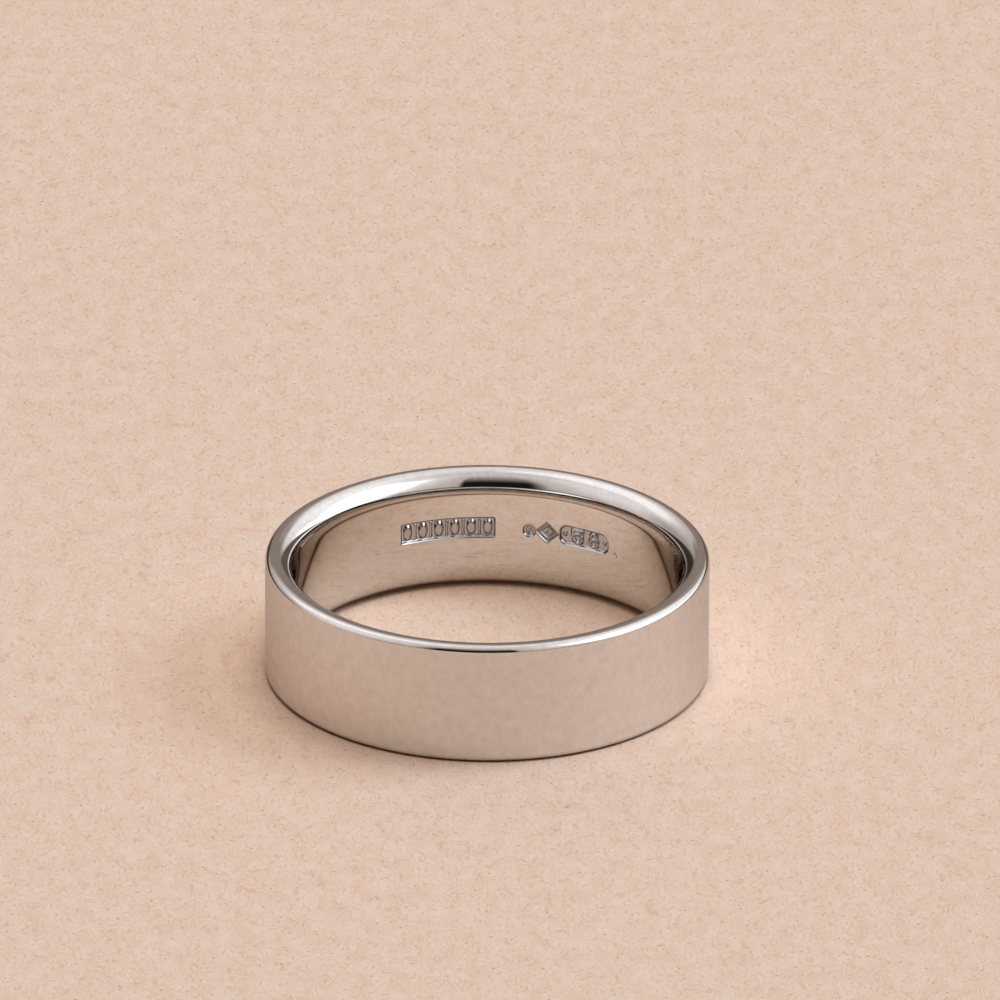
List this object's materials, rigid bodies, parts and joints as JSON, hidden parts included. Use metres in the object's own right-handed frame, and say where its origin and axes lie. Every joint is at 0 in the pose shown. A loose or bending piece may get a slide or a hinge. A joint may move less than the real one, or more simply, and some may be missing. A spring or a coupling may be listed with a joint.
{
  "type": "wedding band",
  "caption": "Plain flat-faced finger ring with a comfort-fit bore, rounded polished rims and a satin outer face.",
  "frame": {"origin": "on the finger's axis, at the lower rim that the ring lies on", "axes": "+Z along the finger's axis, up when the ring lies flat; +X and +Y are any two radii, because the ring is round; the picture's camera looks along +Y from above"},
  "size_m": [0.0212, 0.0212, 0.006],
  "materials": {
    "band_metal": "18 carat white gold: satin outer face, mirror-polished rims and bore"
  },
  "bodies": {
    "root": {"band": "band_metal"}
  },
  "joints": []
}
